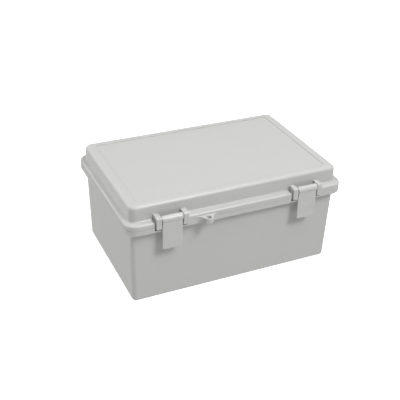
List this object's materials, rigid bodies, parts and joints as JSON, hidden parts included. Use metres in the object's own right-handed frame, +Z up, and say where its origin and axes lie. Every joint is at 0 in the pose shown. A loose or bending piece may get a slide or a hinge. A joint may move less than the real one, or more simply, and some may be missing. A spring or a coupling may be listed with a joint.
{
  "type": "electrical junction box",
  "caption": "Rectangular hinged plastic enclosure with a sealed lid, front snap latches, a padlock eye and an inner mounting plate for electrical terminals.",
  "frame": {"origin": "middle of the flat underside of the base, on the plane that the box stands on", "axes": "+X along the front of the box to the right, +Y from the latches to the rear hinges, +Z up through the lid"},
  "size_m": [0.28, 0.2108, 0.13],
  "materials": {
    "housing": "fine satin mould texture, light grey",
    "latch": "satin moulded, light grey",
    "seal": "soft matte, dark grey",
    "plate": "galvanised sheet",
    "steel": "bright zinc plated or stainless",
    "brass": "turned brass"
  },
  "bodies": {
    "base": {"base_shell": "housing", "mounting_plate": "plate", "plate_screws": "steel", "plate_inserts": "brass", "wall_inserts": "brass", "hinge_pin_left": "steel", "hinge_pin_right": "steel"},
    "lid": {"lid_shell": "housing", "lid_gasket": "seal", "latch_pin_left": "steel", "latch_pin_right": "steel"},
    "latch_left": {"latch_lever_left": "latch"},
    "latch_right": {"latch_lever_right": "latch"}
  },
  "joints": [
    {"name": "lid_hinge", "type": "hinge", "parent": "base", "child": "lid", "pos_m": [0, 0.1, 0.1043], "axis": [-1, 0, 0], "range_deg": [0, 180]},
    {"name": "latch_left_pivot", "type": "hinge", "parent": "lid", "child": "latch_left", "pos_m": [-0.0873, -0.0945, 0.1134], "axis": [-1, 0, 0], "range_deg": [0, 180]},
    {"name": "latch_right_pivot", "type": "hinge", "parent": "lid", "child": "latch_right", "pos_m": [0.0873, -0.0945, 0.1134], "axis": [-1, 0, 0], "range_deg": [0, 180]}
  ]
}
